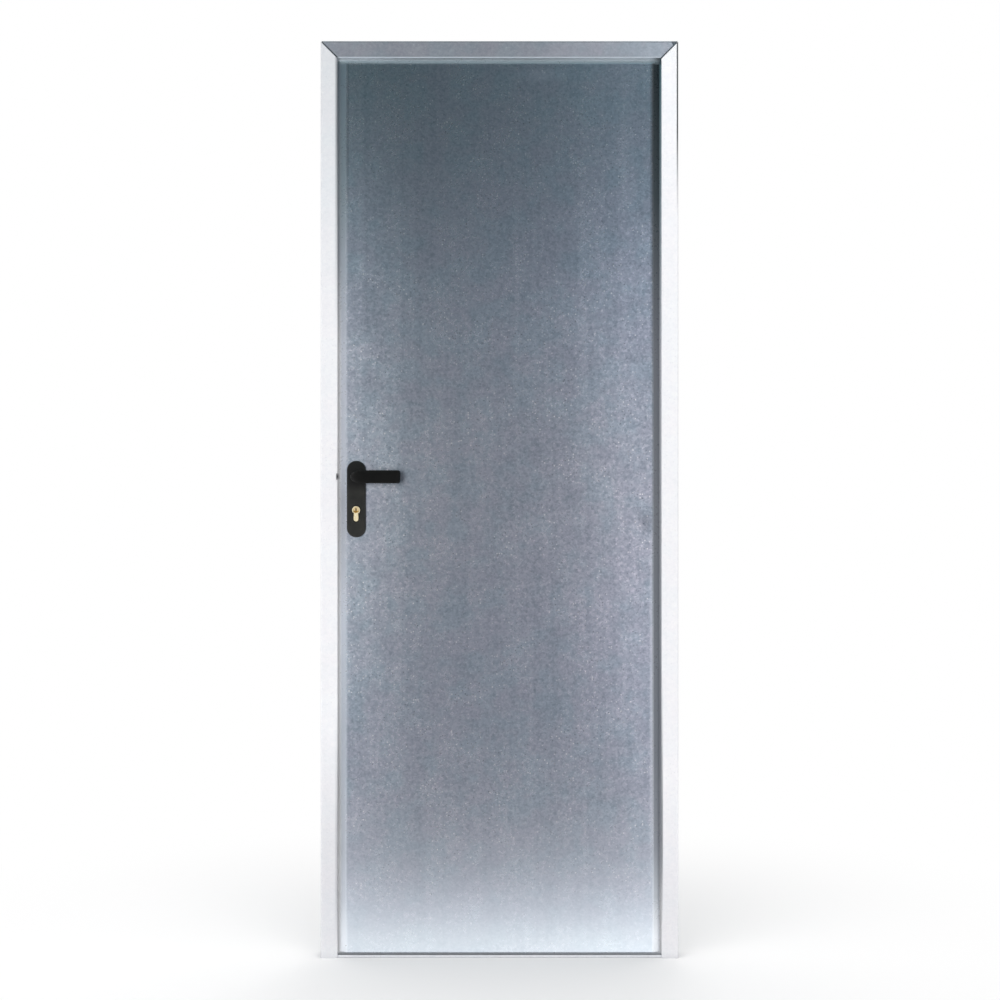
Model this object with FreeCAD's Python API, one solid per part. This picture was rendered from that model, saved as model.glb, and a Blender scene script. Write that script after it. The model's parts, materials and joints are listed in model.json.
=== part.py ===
import FreeCAD, Part
import math
import os

from FreeCAD import Vector

# Steel utility door in its folded frame, in millimetres.
# X runs along the width, Y away from the viewer, Z up. Everything is drawn with the floor at Z = 0
# and the frame's face at Y = 0, then moved so that the origin lies on the threshold's underside.

# Frame
frame_w = 780.0
frame_h = 2000.0
frame_face = 36.8
frame_depth = 55.0
frame_sheet = 1.5
fold_r = 1.5
hem_len = 10.0
mitre_gap = 2.0
snip_w = 16.0
snip_h = 11.5
fixing_r = 4.25
fixing_end = 400.0
fixing_rows = 4
origin_back = 20.0

# Threshold and corner cleats
sill_h = 6.0
sill_depth = 40.0
cleat_leg = 34.0
cleat_w = 30.0
cleat_t = 1.5
cleat_r = 2.0
cleat_fit = 0.5

# Leaf
leaf_overlap = 15.8
leaf_overlap_top = 24.8
leaf_lift = 6.0
leaf_t = 38.0
leaf_set_back = 0.0
skin = 0.8
step_depth = 8.0
step_run = 19.0
step_tongue = 16.0
step_run_top = 10.5
step_tongue_top = 26.0
bend_r = 4.0
edge_r = 1.6
rear_return = 14.0

# Lock
backset = 57.0
spindle_z = 1049.0
centres = 72.0
case_h = 170.0
case_d = 86.0
case_t = 15.0
case_up = 42.0
forend_w = 20.0
forend_h = 235.0
forend_t = 3.0
latch_z = 1050.0
latch_h = 24.0
latch_t = 11.0
latch_out = 1.0
bolt_z = 1007.0
bolt_h = 32.0
bolt_len = 34.0
fit = 0.3

# Strike keep and the notch for it in the frame's hem
keep_gap = 7.0
keep_w = 26.0
keep_h = 190.0
notch_h = 14.0
notch_d = 3.0

# Cylinder
cyl_r = 8.5
cyl_tail_w = 10.0
cyl_h = 33.0
cyl_out = 3.0
plug_r = 6.25
plug_len = 9.0
run_fit = 0.05
keyway_w = 2.0
keyway_h = 8.0
keyway_d = 5.0

# Lever set
plate_w = 41.0
plate_h = 167.0
plate_t = 8.0
plate_up = 35.5
plate_edge = 2.5
spindle_side = 8.0
neck_r = 10.5
neck_fit = 0.1
neck_end_gap = 1.0
grip_h = 28.0
grip_t = 12.0
grip_reach = 98.0
grip_stand = 46.0
grip_back = 13.0
return_len = 24.0
return_r = 15.0
grip_corner_r = 8.5
grip_edge = 3.0
grip_rim = 2.5

# Hinges
barrel_r = 7.0
barrel_len = 55.0
washer_t = 1.5
hinge_pin_r = 4.0
pin_fit = 0.05
pin_len = 45.0
wing_t = 3.0
wing_frame_y = 24.0
wing_leaf_y = 20.0
axis_behind = 2.0
hinge_from_end = 182.0

# Sizes that follow from the ones above
half_w = frame_w / 2
face_in = half_w - frame_face
leg_in = half_w - frame_sheet
hem_t = 2 * frame_sheet
leaf_half = face_in + leaf_overlap
leaf_z0 = sill_h + leaf_lift
leaf_z1 = frame_h - frame_face + leaf_overlap_top
leaf_y0 = leaf_set_back
leaf_y1 = leaf_y0 + leaf_t
tongue_y = leaf_y0 + step_depth
lock_y = (leaf_y0 + leaf_y1) / 2
spindle_x = -leaf_half + backset
cyl_z = spindle_z - centres
hinge_x = (leaf_half + leg_in) / 2
hinge_y = leaf_y1 + axis_behind
hinge_h = 2 * barrel_len + washer_t
hinge_zs = (leaf_z0 + hinge_from_end, leaf_z1 - hinge_from_end - hinge_h)
plate_front = leaf_y0 - plate_t
plate_z1 = spindle_z + plate_up
plate_z0 = plate_z1 - plate_h

os.makedirs("parts", exist_ok=True)


def save(shape, node):
    moved = shape.copy()
    moved.translate(Vector(0, -origin_back, 0))
    moved.exportStep("parts/" + node + ".step")


def box(x0, x1, y0, y1, z0, z1):
    return Part.makeBox(x1 - x0, y1 - y0, z1 - z0, Vector(x0, y0, z0))


def round_y(x, z, r, y0, y1):
    return Part.makeCylinder(r, y1 - y0, Vector(x, y0, z), Vector(0, 1, 0))


def round_z(x, y, r, z0, z1):
    return Part.makeCylinder(r, z1 - z0, Vector(x, y, z0), Vector(0, 0, 1))


def line(a, b):
    return Part.makeLine(Vector(*a), Vector(*b))


def arc(a, m, b):
    return Part.Arc(Vector(*a), Vector(*m), Vector(*b)).toShape()


def prism(edges, along):
    return Part.Face(Part.Wire(edges)).extrude(Vector(*along))


def polygon_prism(corners, along):
    return prism([line(a, b) for a, b in zip(corners, corners[1:] + corners[:1])], along)


def mirror_y(shape, plane_y):
    return shape.mirror(Vector(0, plane_y, 0), Vector(0, 1, 0))


# The folded angle: u runs inward from the outer edge, the leg goes back at u = 0,
# the flange ends in a closed hem with a round nose.
def frame_bar(length):
    t = frame_sheet
    ro = fold_r + t
    nose = frame_face - t
    hem_end = frame_face - hem_len
    c = math.cos(math.pi / 4)
    edges = [
        line((0, frame_depth, 0), (0, ro, 0)),
        arc((0, ro, 0), (ro - ro * c, ro - ro * c, 0), (ro, 0, 0)),
        line((ro, 0, 0), (nose, 0, 0)),
        arc((nose, 0, 0), (frame_face, t, 0), (nose, hem_t, 0)),
        line((nose, hem_t, 0), (hem_end, hem_t, 0)),
        line((hem_end, hem_t, 0), (hem_end, t, 0)),
        line((hem_end, t, 0), (ro, t, 0)),
        arc((ro, t, 0), (ro - fold_r * c, ro - fold_r * c, 0), (t, ro, 0)),
        line((t, ro, 0), (t, frame_depth, 0)),
        line((t, frame_depth, 0), (0, frame_depth, 0)),
    ]
    return prism(edges, (0, 0, length))


# A wedge that takes off everything past the 45 degree line through the corner.
def mitre_wedge(corner_w, direction):
    g = mitre_gap / math.sqrt(2)
    far = 3 * frame_face
    near = -frame_face
    start = corner_w - direction * g
    past = corner_w + direction * far
    corners = [
        (near, -far, start - direction * near),
        (far, -far, start - direction * far),
        (far, -far, past),
        (near, -far, past),
    ]
    return polygon_prism(corners, (0, 2 * far + frame_depth, 0))


def fixing_heights():
    step = (frame_h - 2 * fixing_end) / (fixing_rows - 1)
    return [fixing_end + i * step for i in range(fixing_rows)]


def jamb():
    bar = frame_bar(frame_h).cut(mitre_wedge(frame_h, 1))
    for z in fixing_heights():
        hole = Part.makeCylinder(fixing_r, 3 * frame_sheet, Vector(-frame_sheet, lock_y, z), Vector(1, 0, 0))
        bar = bar.cut(hole)
    return bar


def place_left(bar):
    bar.translate(Vector(-half_w, 0, 0))
    return bar


def place_right(bar):
    return place_left(bar).mirror(Vector(0, 0, 0), Vector(1, 0, 0))


def head():
    bar = frame_bar(frame_w)
    bar = bar.cut(mitre_wedge(frame_w, 1))
    bar = bar.cut(mitre_wedge(0, -1))
    bar.rotate(Vector(0, 0, 0), Vector(0, 1, 0), 90)
    bar.translate(Vector(-half_w, 0, frame_h))
    ro = fold_r + frame_sheet
    tip = [
        (half_w - snip_w, -ro, frame_h),
        (half_w - snip_h, -ro, frame_h - snip_h),
        (half_w + ro, -ro, frame_h - snip_h),
        (half_w + ro, -ro, frame_h + ro),
        (half_w - snip_w, -ro, frame_h + ro),
    ]
    return bar.cut(polygon_prism(tip, (0, 2 * ro, 0)))


left_jamb = place_left(jamb())
notch = box(-face_in - notch_d, -face_in + 1, -1, hem_t + 1, latch_z - notch_h / 2, latch_z + notch_h / 2)
left_jamb = left_jamb.cut(notch)
save(left_jamb, "jamb_left")
save(place_right(jamb()), "jamb_right")
save(head(), "head")


# Threshold angle behind the jambs' hems, upstand in front, flat leg on the floor.
def threshold():
    t = frame_sheet
    y0 = hem_t
    ro = fold_r + t
    c = math.cos(math.pi / 4)
    edges = [
        line((0, y0, sill_h), (0, y0, ro)),
        arc((0, y0, ro), (0, y0 + ro - ro * c, ro - ro * c), (0, y0 + ro, 0)),
        line((0, y0 + ro, 0), (0, y0 + sill_depth, 0)),
        line((0, y0 + sill_depth, 0), (0, y0 + sill_depth, t)),
        line((0, y0 + sill_depth, t), (0, y0 + ro, t)),
        arc((0, y0 + ro, t), (0, y0 + ro - fold_r * c, ro - fold_r * c), (0, y0 + t, ro)),
        line((0, y0 + t, ro), (0, y0 + t, sill_h)),
        line((0, y0 + t, sill_h), (0, y0, sill_h)),
    ]
    bar = prism(edges, (2 * leg_in, 0, 0))
    bar.translate(Vector(-leg_in, 0, 0))
    return bar


save(threshold(), "threshold")


# Corner cleat: a bent strap against the inside of both legs, closed in front by a plate that lies
# behind the two flanges and backs their mitre.
def cleat_right():
    x1 = leg_in
    y0 = frame_sheet
    z1 = frame_h - frame_sheet
    ro = fold_r + cleat_t
    c = math.cos(math.pi / 4)
    plate = frame_face - hem_len - frame_sheet - cleat_fit
    corner = [
        line((x1, y0, z1 - cleat_leg), (x1, y0, z1 - ro)),
        arc((x1, y0, z1 - ro), (x1 - ro + ro * c, y0, z1 - ro + ro * c), (x1 - ro, y0, z1)),
        line((x1 - ro, y0, z1), (x1 - cleat_leg, y0, z1)),
        line((x1 - cleat_leg, y0, z1), (x1 - cleat_leg, y0, z1 - cleat_t)),
        line((x1 - cleat_leg, y0, z1 - cleat_t), (x1 - ro, y0, z1 - cleat_t)),
        arc(
            (x1 - ro, y0, z1 - cleat_t),
            (x1 - ro + fold_r * c, y0, z1 - ro + fold_r * c),
            (x1 - cleat_t, y0, z1 - ro),
        ),
        line((x1 - cleat_t, y0, z1 - ro), (x1 - cleat_t, y0, z1 - cleat_leg)),
        line((x1 - cleat_t, y0, z1 - cleat_leg), (x1, y0, z1 - cleat_leg)),
    ]
    strap = prism(corner, (0, cleat_w, 0))
    front = [
        line((x1, y0, z1 - plate), (x1, y0, z1 - ro)),
        arc((x1, y0, z1 - ro), (x1 - ro + ro * c, y0, z1 - ro + ro * c), (x1 - ro, y0, z1)),
        line((x1 - ro, y0, z1), (x1 - plate, y0, z1)),
        line((x1 - plate, y0, z1), (x1 - plate, y0, z1 - plate)),
        line((x1 - plate, y0, z1 - plate), (x1, y0, z1 - plate)),
    ]
    solid = strap.fuse(prism(front, (0, cleat_t, 0))).removeSplitter()

    # the front edge is bevelled so that it clears the fold of the frame
    def at_fold(e):
        b = e.BoundBox
        outer = b.XMin > x1 - 0.01 or b.ZMin > z1 - 0.01 or (b.XMin > x1 - ro - 0.01 and b.ZMin > z1 - ro - 0.01)
        on_side = abs(b.XMax - x1) < 0.01 or abs(b.ZMax - z1) < 0.01
        return b.YMax < y0 + 0.01 and outer and on_side and e.Length > cleat_t + 0.01

    return solid.makeChamfer(cleat_r, [e for e in solid.Edges if at_fold(e)])


save(cleat_right(), "corner_cleat_right")
save(cleat_right().mirror(Vector(0, 0, 0), Vector(1, 0, 0)), "corner_cleat_left")


# Strike keep: a channel welded by its two edges to the left leg, open at its ends.
def strike_keep():
    x_face = -leaf_half - keep_gap
    depth = leg_in + x_face
    t = frame_sheet
    ro = fold_r + t
    w = keep_w / 2
    c = math.cos(math.pi / 4)
    z0 = (latch_z + bolt_z) / 2 - keep_h / 2

    def half(s):
        return [
            line((0, s * (w - ro), 0), (0, 0, 0)),
            arc((0, s * (w - ro), 0), (-ro + ro * c, s * (w - ro + ro * c), 0), (-ro, s * w, 0)),
            line((-ro, s * w, 0), (-depth, s * w, 0)),
            line((-depth, s * w, 0), (-depth, s * (w - t), 0)),
            line((-depth, s * (w - t), 0), (-ro, s * (w - t), 0)),
            arc(
                (-ro, s * (w - t), 0),
                (-ro + fold_r * c, s * (w - ro + fold_r * c), 0),
                (-t, s * (w - ro), 0),
            ),
            line((-t, s * (w - ro), 0), (-t, 0, 0)),
        ]

    edges = Part.sortEdges(half(1) + half(-1))[0]
    bar = prism(edges, (0, 0, keep_h))
    bar.translate(Vector(x_face, lock_y, z0))
    for z, h in ((latch_z, latch_h), (bolt_z, bolt_h)):
        play = 2.0
        slot = box(
            x_face - 2 * t,
            x_face + 1,
            lock_y - latch_t / 2 - play,
            lock_y + latch_t / 2 + play,
            z - h / 2 - play,
            z + h / 2 + play,
        )
        bar = bar.cut(slot)
    return bar


save(strike_keep(), "strike_keep")


# The leaf's envelope, drawn in by `t` all round: a slab with a raised field whose
# left, right and top sides slope back to the tongue that closes behind the frame.
def envelope(t):
    side_shift = t * math.tan(math.atan2(step_depth, step_run) / 2)
    top_shift = t * math.tan(math.atan2(step_depth, step_run_top) / 2)
    x_edge = leaf_half - t
    z0 = leaf_z0 + t
    z1 = leaf_z1 - t
    y_field = leaf_y0 + t
    y_tongue = tongue_y + t
    outer_x = leaf_half - step_tongue - side_shift
    outer_z = leaf_z1 - step_tongue_top - top_shift
    slab = box(-x_edge, x_edge, y_tongue, leaf_y1 - skin, z0, z1)

    inner_x = outer_x - step_run
    inner_z = outer_z - step_run_top
    plan = [(-outer_x, y_tongue, z0), (outer_x, y_tongue, z0), (inner_x, y_field, z0), (-inner_x, y_field, z0)]
    side = [
        (-outer_x, y_tongue, z0),
        (-outer_x, y_tongue, outer_z),
        (-outer_x, y_field, inner_z),
        (-outer_x, y_field, z0),
    ]
    field = polygon_prism(plan, (0, 0, outer_z - z0)).common(polygon_prism(side, (2 * outer_x, 0, 0)))
    solid = slab.fuse(field).removeSplitter()

    def flat_edges(y, at_rim):
        found = []
        for e in solid.Edges:
            b = e.BoundBox
            on = abs(b.YMin - y) < 1e-4 and abs(b.YMax - y) < 1e-4
            rim = b.XMin > x_edge - 0.01 or b.XMax < -x_edge + 0.01 or b.ZMin > z1 - 0.01
            if on and rim == at_rim and b.ZMax > z0 + 0.01:
                found.append(e)
        return found

    solid = solid.makeFillet(bend_r - t, flat_edges(y_field, False))
    solid = solid.makeFillet(bend_r + t, flat_edges(y_tongue, False))
    solid = solid.makeFillet(edge_r - t, flat_edges(y_tongue, True))
    front_y = y_tongue + edge_r
    foot = [e for e in solid.Edges if e.BoundBox.ZMax < z0 + 0.01 and e.BoundBox.YMax < front_y + 0.01]
    return solid.makeChamfer(edge_r - t, foot)


# The cylinder's outline: a round head over a straight tail with a round foot.
def euro_bar(grow, y0, y1):
    r = cyl_r + grow
    w = cyl_tail_w / 2 + grow
    foot = cyl_z + cyl_r - cyl_h + cyl_tail_w / 2
    tail = box(spindle_x - w, spindle_x + w, y0, y1, foot, cyl_z)
    bar = round_y(spindle_x, cyl_z, r, y0, y1)
    bar = bar.fuse(tail).fuse(round_y(spindle_x, foot, w, y0, y1))
    return bar.removeSplitter()


def lock_openings(y0, y1):
    return round_y(spindle_x, spindle_z, spindle_side, y0, y1).fuse(euro_bar(1.0, y0, y1))


forend_zc = spindle_z + case_up - case_h / 2
forend_z0 = forend_zc - forend_h / 2
forend_z1 = forend_zc + forend_h / 2


# Forend outline with round ends, from the leaf's edge inwards.
def forend_bar(grow, x0, x1):
    w = forend_w / 2 + grow
    r = forend_w / 2
    low = forend_z0 + r
    high = forend_z1 - r
    bar = box(x0, x1, lock_y - w, lock_y + w, low, high)
    for z in (low, high):
        bar = bar.fuse(Part.makeCylinder(w, x1 - x0, Vector(x0, lock_y, z), Vector(1, 0, 0)))
    return bar.removeSplitter()


front_skin = envelope(0).cut(envelope(skin).fuse(
    box(-leaf_half + skin, leaf_half - skin, leaf_y1 - 3, leaf_y1, leaf_z0 + skin, leaf_z1 - skin)))
front_skin = front_skin.cut(lock_openings(leaf_y0 - 1, leaf_y0 + step_depth))
front_skin = front_skin.cut(forend_bar(fit, -leaf_half - 1, -leaf_half + 2 * skin))
save(front_skin, "front_skin")


# Rear skin: a shallow lid, its returns inside the front skin's folds.
def rear_skin():
    lid = box(-leaf_half, leaf_half, leaf_y1 - skin, leaf_y1, leaf_z0, leaf_z1)
    x = leaf_half - skin
    z0 = leaf_z0 + skin
    z1 = leaf_z1 - skin
    y0 = leaf_y1 - skin - rear_return
    rim = box(-x, x, y0, leaf_y1 - skin, z0, z1)
    rim = rim.cut(box(-x + skin, x - skin, y0, leaf_y1, z0 + skin, z1 - skin))
    pan = lid.fuse(rim).removeSplitter()
    pan = pan.cut(lock_openings(leaf_y1 - 2, leaf_y1 + 1))
    return pan.cut(forend_bar(fit, -leaf_half + skin / 2, -leaf_half + 4 * skin))


save(rear_skin(), "rear_skin")

# Lock: forend flush with the leaf's edge, case behind it, bolts drawn back.
forend = forend_bar(0, -leaf_half, -leaf_half + forend_t)
case_x0 = -leaf_half + forend_t
case = box(
    case_x0,
    case_x0 + case_d,
    lock_y - case_t / 2,
    lock_y + case_t / 2,
    spindle_z + case_up - case_h,
    spindle_z + case_up,
)
case = case.cut(round_y(spindle_x, spindle_z, spindle_side, 0, leaf_y1))
case = case.cut(euro_bar(fit, 0, leaf_y1))


def bolt_box(z, h, grow, x0):
    t = latch_t / 2 + grow
    return box(x0, -leaf_half + bolt_len + grow, lock_y - t, lock_y + t, z - h / 2 - grow, z + h / 2 + grow)


for z, h in ((latch_z, latch_h), (bolt_z, bolt_h)):
    pocket = bolt_box(z, h, fit, -leaf_half - 1)
    forend = forend.cut(pocket)
    case = case.cut(pocket)
save(forend, "lock_forend")
save(case, "lock_case")

latch = bolt_box(latch_z, latch_h, 0, -leaf_half - latch_out)
latch_edges = [e for e in latch.Edges if e.BoundBox.XMax < -leaf_half]
save(latch.makeFillet(0.8, latch_edges), "latch_bolt")
save(bolt_box(bolt_z, bolt_h, 0, -leaf_half), "dead_bolt")

# Cylinder with a blind bore at each end for its plug.
cyl_y0 = plate_front - cyl_out
cyl_y1 = 2 * lock_y - cyl_y0
body = euro_bar(0, cyl_y0, cyl_y1)
bore = round_y(spindle_x, cyl_z, plug_r + run_fit, cyl_y0 - 1, cyl_y0 + plug_len)
body = body.cut(bore).cut(mirror_y(bore, lock_y))
save(body, "cylinder_body")

plug = round_y(spindle_x, cyl_z, plug_r, cyl_y0, cyl_y0 + plug_len)
slot_x = keyway_w / 2
slot_z = keyway_h / 2
plug = plug.cut(box(
    spindle_x - slot_x,
    spindle_x + slot_x,
    cyl_y0 - 1,
    cyl_y0 + keyway_d,
    cyl_z - slot_z,
    cyl_z + slot_z,
))
save(plug, "cylinder_plug_front")
save(mirror_y(plug, lock_y), "cylinder_plug_rear")


# Plate of the lever set: a full-round outline with a softened rim.
def lever_plate():
    r = plate_w / 2
    z0 = plate_z0 + r
    z1 = plate_z1 - r
    bar = box(spindle_x - r, spindle_x + r, plate_front, leaf_y0, z0, z1)
    for z in (z0, z1):
        bar = bar.fuse(round_y(spindle_x, z, r, plate_front, leaf_y0))
    bar = bar.removeSplitter()
    rim = [e for e in bar.Edges if e.BoundBox.YMax < plate_front + 1e-3]
    bar = bar.makeChamfer(plate_edge, rim)
    bar = bar.cut(round_y(spindle_x, spindle_z, neck_r + neck_fit, plate_front - 1, leaf_y0 + 1))
    return bar.cut(euro_bar(fit, plate_front - 1, leaf_y0 + 1))


save(lever_plate(), "front_plate")
save(mirror_y(lever_plate(), lock_y), "rear_plate")


# Lever: a round neck and a flat grip whose end turns back towards the leaf.
def lever():
    y_out = plate_front - grip_stand
    y_in = y_out + grip_t
    x_left = spindle_x - grip_back
    x_tip = spindle_x + grip_reach
    r_out = return_r
    r_in = return_r - grip_t
    y_end = y_out + return_len
    x_in = x_tip - grip_t
    z0 = spindle_z - grip_h / 2
    c = math.cos(math.pi / 4)
    xo = x_tip - r_out
    yo = y_out + r_out
    edges = [
        line((x_left, y_out, z0), (xo, y_out, z0)),
        arc((xo, y_out, z0), (xo + r_out * c, yo - r_out * c, z0), (x_tip, yo, z0)),
        line((x_tip, yo, z0), (x_tip, y_end, z0)),
        line((x_tip, y_end, z0), (x_in, y_end, z0)),
        line((x_in, y_end, z0), (x_in, yo, z0)),
        arc((x_in, yo, z0), (xo + r_in * c, yo - r_in * c, z0), (xo, y_in, z0)),
        line((xo, y_in, z0), (x_left, y_in, z0)),
        line((x_left, y_in, z0), (x_left, y_out, z0)),
    ]
    grip = prism(edges, (0, 0, grip_h))
    for y, r in ((y_out, grip_corner_r), (y_in, grip_edge)):
        upright = [e for e in grip.Edges if e.BoundBox.ZLength > grip_h - 1 and e.BoundBox.XMax < x_left + 1]
        grip = grip.makeFillet(r, [e for e in upright if abs(e.BoundBox.YMin - y) < 1e-3])
    rims = [e for e in grip.Edges if e.BoundBox.ZLength < 0.01]
    grip = grip.makeChamfer(grip_rim, rims)
    neck = round_y(spindle_x, spindle_z, neck_r, y_in - 2, leaf_y0 - neck_end_gap)
    solid = grip.fuse(neck).removeSplitter()
    s = spindle_side / 2 + run_fit
    hole = box(spindle_x - s, spindle_x + s, y_in, leaf_y0, spindle_z - s, spindle_z + s)
    return solid.cut(hole)


save(lever(), "front_lever")
save(mirror_y(lever(), lock_y), "rear_lever")

bar_half = spindle_side / 2
spindle_y0 = plate_front - grip_stand + grip_t + 1
save(
    box(
        spindle_x - bar_half,
        spindle_x + bar_half,
        spindle_y0,
        2 * lock_y - spindle_y0,
        spindle_z - bar_half,
        spindle_z + bar_half,
    ),
    "spindle",
)


# Barrel hinges in the gap between leaf and leg: pin and lower barrel on the frame,
# bored upper barrel on the leaf, a brass washer between them.
def hinge_frame(z):
    x_wing = leg_in - wing_t
    wing = box(x_wing, leg_in, hinge_y - wing_frame_y + barrel_r, hinge_y + barrel_r, z, z + barrel_len)
    barrel = round_z(hinge_x, hinge_y, barrel_r, z, z + barrel_len)
    barrel = barrel.fuse(round_z(hinge_x, hinge_y, hinge_pin_r, z, z + barrel_len + washer_t + pin_len))
    return barrel.fuse(wing).removeSplitter()


def hinge_leaf(z):
    z0 = z + barrel_len + washer_t
    x_wing = leaf_half + wing_t
    wing = box(leaf_half, x_wing, leaf_y1 - wing_leaf_y, hinge_y, z0, z0 + barrel_len)
    barrel = round_z(hinge_x, hinge_y, barrel_r, z0, z0 + barrel_len)
    solid = barrel.fuse(wing).removeSplitter()
    return solid.cut(round_z(hinge_x, hinge_y, hinge_pin_r + pin_fit, z0 - 1, z0 + pin_len + 1))


def hinge_washer(z):
    z0 = z + barrel_len
    ring = round_z(hinge_x, hinge_y, barrel_r, z0, z0 + washer_t)
    return ring.cut(round_z(hinge_x, hinge_y, hinge_pin_r + pin_fit, z0 - 1, z0 + washer_t + 1))


for name, z in zip(("lower", "upper"), hinge_zs):
    save(hinge_frame(z), "hinge_" + name + "_frame")
    save(hinge_leaf(z), "hinge_" + name + "_leaf")
    save(hinge_washer(z), "hinge_" + name + "_washer")
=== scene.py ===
import json
import math
import bmesh
import bpy
import numpy as np
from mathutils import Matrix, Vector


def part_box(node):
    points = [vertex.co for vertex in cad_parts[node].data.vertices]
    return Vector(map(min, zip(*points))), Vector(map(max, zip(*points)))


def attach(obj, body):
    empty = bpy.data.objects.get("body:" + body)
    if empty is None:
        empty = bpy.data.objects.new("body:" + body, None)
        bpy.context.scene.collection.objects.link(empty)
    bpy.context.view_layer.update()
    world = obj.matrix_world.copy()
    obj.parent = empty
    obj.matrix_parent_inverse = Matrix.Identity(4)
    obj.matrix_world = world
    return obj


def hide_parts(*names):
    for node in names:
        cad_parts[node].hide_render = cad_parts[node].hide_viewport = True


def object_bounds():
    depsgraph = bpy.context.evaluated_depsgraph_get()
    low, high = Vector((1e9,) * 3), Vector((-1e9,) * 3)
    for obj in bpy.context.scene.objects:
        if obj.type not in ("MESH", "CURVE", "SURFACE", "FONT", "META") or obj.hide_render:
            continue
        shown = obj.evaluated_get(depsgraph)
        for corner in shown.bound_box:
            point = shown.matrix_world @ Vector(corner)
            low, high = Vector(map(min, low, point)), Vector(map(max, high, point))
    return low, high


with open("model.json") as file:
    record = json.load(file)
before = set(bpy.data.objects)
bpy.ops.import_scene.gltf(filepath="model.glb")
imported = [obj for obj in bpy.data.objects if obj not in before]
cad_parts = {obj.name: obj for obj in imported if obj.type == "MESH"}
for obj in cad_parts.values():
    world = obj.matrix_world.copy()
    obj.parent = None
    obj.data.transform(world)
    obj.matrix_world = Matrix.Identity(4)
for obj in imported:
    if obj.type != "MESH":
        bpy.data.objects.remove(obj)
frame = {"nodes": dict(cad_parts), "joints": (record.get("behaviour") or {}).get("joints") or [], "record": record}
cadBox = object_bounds()
scene = bpy.context.scene
scene.view_settings.view_transform = "Standard"
mm = 0.001
toLeft, toRight = (-1, 0, 0), (1, 0, 0)
toFront, toBack = (0, -1, 0), (0, 1, 0)
upward, downward = (0, 0, 1), (0, 0, -1)
outerLeft, outerRight, doorTop = cadBox[0].x, cadBox[1].x, cadBox[1].z
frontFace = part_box("head")[0].y
print("frame loaded:", len(frame["nodes"]), "nodes")


# sRGB hex to linear light, the one place where colours are turned
def linear(code):
    part = np.array([int(code[i:i + 2], 16) / 255 for i in (1, 3, 5)])
    part = np.where(part <= 0.04045, part / 12.92, ((part + 0.055) / 1.055) ** 2.4)
    return (*part.tolist(), 1.0)


# one node: an input takes a node, a socket or a fixed value, stops fill a colour ramp, the rest are settings
def node(tree, kind, inputs=None, stops=None, **settings):
    made = tree.nodes.new(kind)
    for key, value in settings.items():
        setattr(made, key, value)
    for key, value in (inputs or {}).items():
        if isinstance(value, bpy.types.Node):
            value = value.outputs[0]
        if isinstance(value, bpy.types.NodeSocket):
            tree.links.new(value, made.inputs[key])
        else:
            made.inputs[key].default_value = value
    for i, (place, code) in enumerate(stops or []):
        band = made.color_ramp.elements
        element = band[i] if i < 2 else band.new(place)
        element.position = place
        element.color = linear(code)
    return made


# settings of a node that lays one colour over another, or multiplies them
layOver = {"data_type": "RGBA"}
multiply = {"data_type": "RGBA", "blend_type": "MULTIPLY"}


# an empty material, its tree and the place of each point on the piece
def newMaterial(name):
    made = bpy.data.materials.new(name)
    made.use_nodes = True
    made.node_tree.nodes.clear()
    return made, made.node_tree, node(made.node_tree, "ShaderNodeTexCoord").outputs["Object"]


# marks, mostly painted light and shade: painted reflections, highlights and shade along folds, painted shade
# lines at mitres, edges, recesses and under the leaf; each limit fades a mark in along one direction, and its
# colour is fixed or drifts with height over the whole door
def markedColour(tree, place, colour, metal, marks):
    doorShare = (0, 0, 1 / doorTop)
    for mark in marks:
        cover = mark["depth"]
        for direction, begin, end in mark["limits"]:
            spot = node(tree, "ShaderNodeVectorMath", {0: place, 1: direction}, operation="DOT_PRODUCT")
            inside = node(tree, "ShaderNodeMapRange", {
                "Value": spot.outputs["Value"], "From Min": begin, "From Max": end})
            cover = node(tree, "ShaderNodeMath", {0: inside, 1: cover}, operation="MULTIPLY")
        if "stops" in mark:
            height = node(tree, "ShaderNodeVectorMath", {0: place, 1: doorShare}, operation="DOT_PRODUCT")
            paint = node(tree, "ShaderNodeValToRGB", {"Fac": height.outputs["Value"]}, stops=mark["stops"])
        else:
            paint = linear(mark["colour"])
        colour = node(tree, "ShaderNodeMix", {0: cover, 6: colour, 7: paint}, **layOver).outputs[2]
        if "metallic" in mark:
            metal = node(tree, "ShaderNodeMix", {0: cover, 2: metal, 3: mark["metallic"]}, data_type="FLOAT")
    return colour, metal


# sizes in mm; drag lines are that wide, and run so many times per metre in depth and in height
zincBase = {
    "crystal": 3.6, "grain": 9.0, "cloud": 75.0, "patch": 46.0, "dot": 5.2, "swell": 420.0, "wave": 1.2,
    "drag": 22.0, "dragRun": (30.0, 1.2),
    "fleckShare": 0.16, "grainShare": 0.38, "cloudShare": 0.26, "dragShare": 0.20,
    "tints": [(0.38, "#f4f9fb"), (0.50, "#f8f8fa"), (0.62, "#faf7fa")],
    "bright": "#ffffff", "dotBright": 0.95, "dull": "#545c64", "dotDull": 0.70,
    "dotCore": (0.18, 0.40), "dotChosen": (0.82, 0.90), "dotCluster": (0.42, 0.60), "dotSparse": 0.25,
    "biteTone": (0.35, 0.65), "roughTone": (0.25, 0.75), "roughSpread": 0.04,
    "stainRagged": 0.9, "stainEdge": (0.5, 1.5), "stainDull": 0.25, "toneBump": 0.35, "toneDeep": 0.06,
}


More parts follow.
